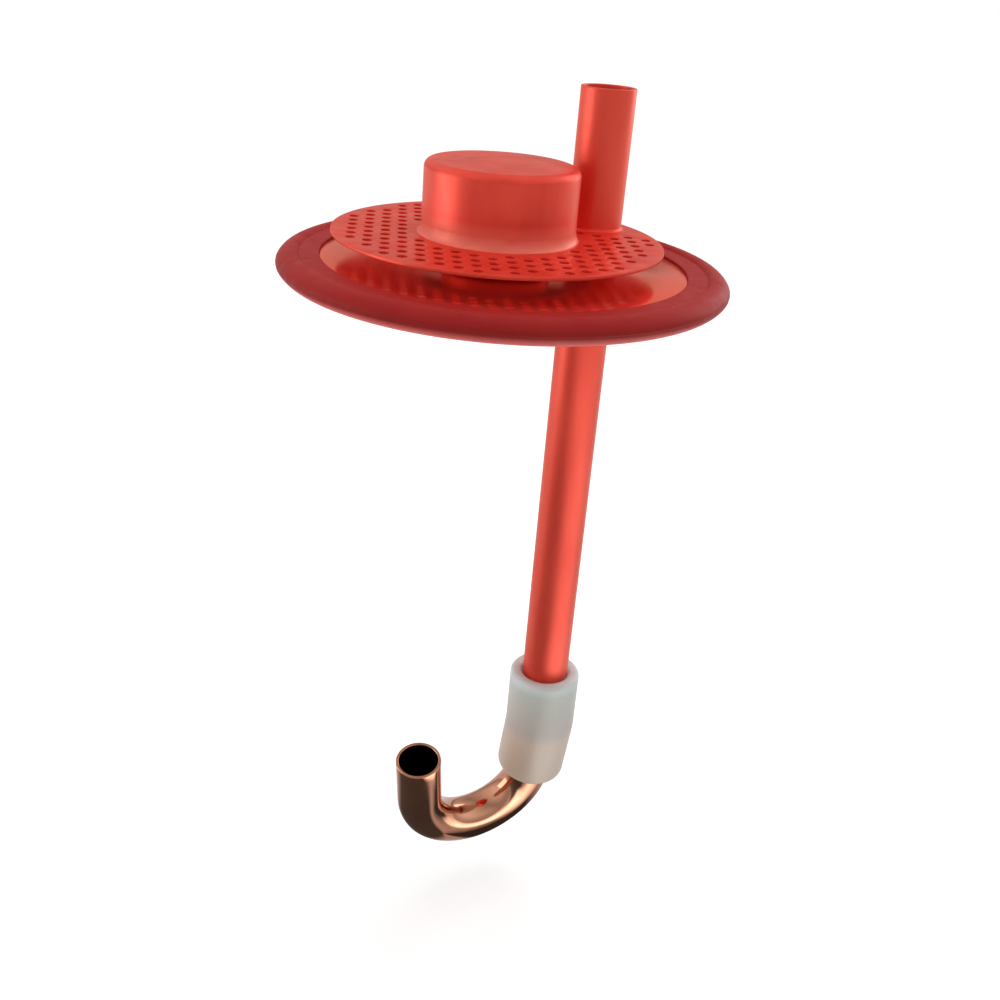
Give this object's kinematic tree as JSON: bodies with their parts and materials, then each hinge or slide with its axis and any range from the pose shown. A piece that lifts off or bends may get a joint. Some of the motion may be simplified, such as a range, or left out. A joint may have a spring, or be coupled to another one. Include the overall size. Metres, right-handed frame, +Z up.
{
  "type": "distilling column tray with liquid trap",
  "caption": "Round tray disc in a clamp gasket, with a vapour riser, a bubble cap on a perforated brim, an overflow tube, and a U-shaped liquid trap on a soft sleeve.",
  "frame": {"origin": "centre of the clamp gasket, on its mid-plane", "axes": "+Z up along the column's axis, +X from the tray's axis towards the overflow tube"},
  "size_m": [0.119, 0.119, 0.2546],
  "materials": {
    "gasket_rubber": "matt, slightly soft sheen",
    "polished_disc": "red-tinted polished metal",
    "red_metal": "red-tinted satin metal with soft brushing",
    "braze": "red-tinted braze fillet",
    "milky_silicone": "milky translucent silicone",
    "copper": "bright polished copper"
  },
  "bodies": {
    "tray": {"clamp_gasket": "gasket_rubber", "tray_disc": "polished_disc", "vapour_riser": "red_metal", "riser_braze": "braze", "perforated_brim": "red_metal", "bubble_cap": "red_metal", "cap_braze": "braze", "overflow_tube": "red_metal", "tube_braze": "braze"},
    "sleeve": {"coupling_sleeve": "milky_silicone"},
    "trap": {"trap_bend": "copper"}
  },
  "joints": [
    {"name": "sleeve_pull", "type": "slide", "parent": "tray", "child": "sleeve", "axis": [0, 0, -1], "range_m": [0, 0.019]},
    {"name": "trap_swivel", "type": "hinge", "parent": "sleeve", "child": "trap", "pos_m": [0.03128, 0.00153, -0.16079], "axis": [-0.0281, -0.1591, 0.9869], "continuous": true}
  ]
}
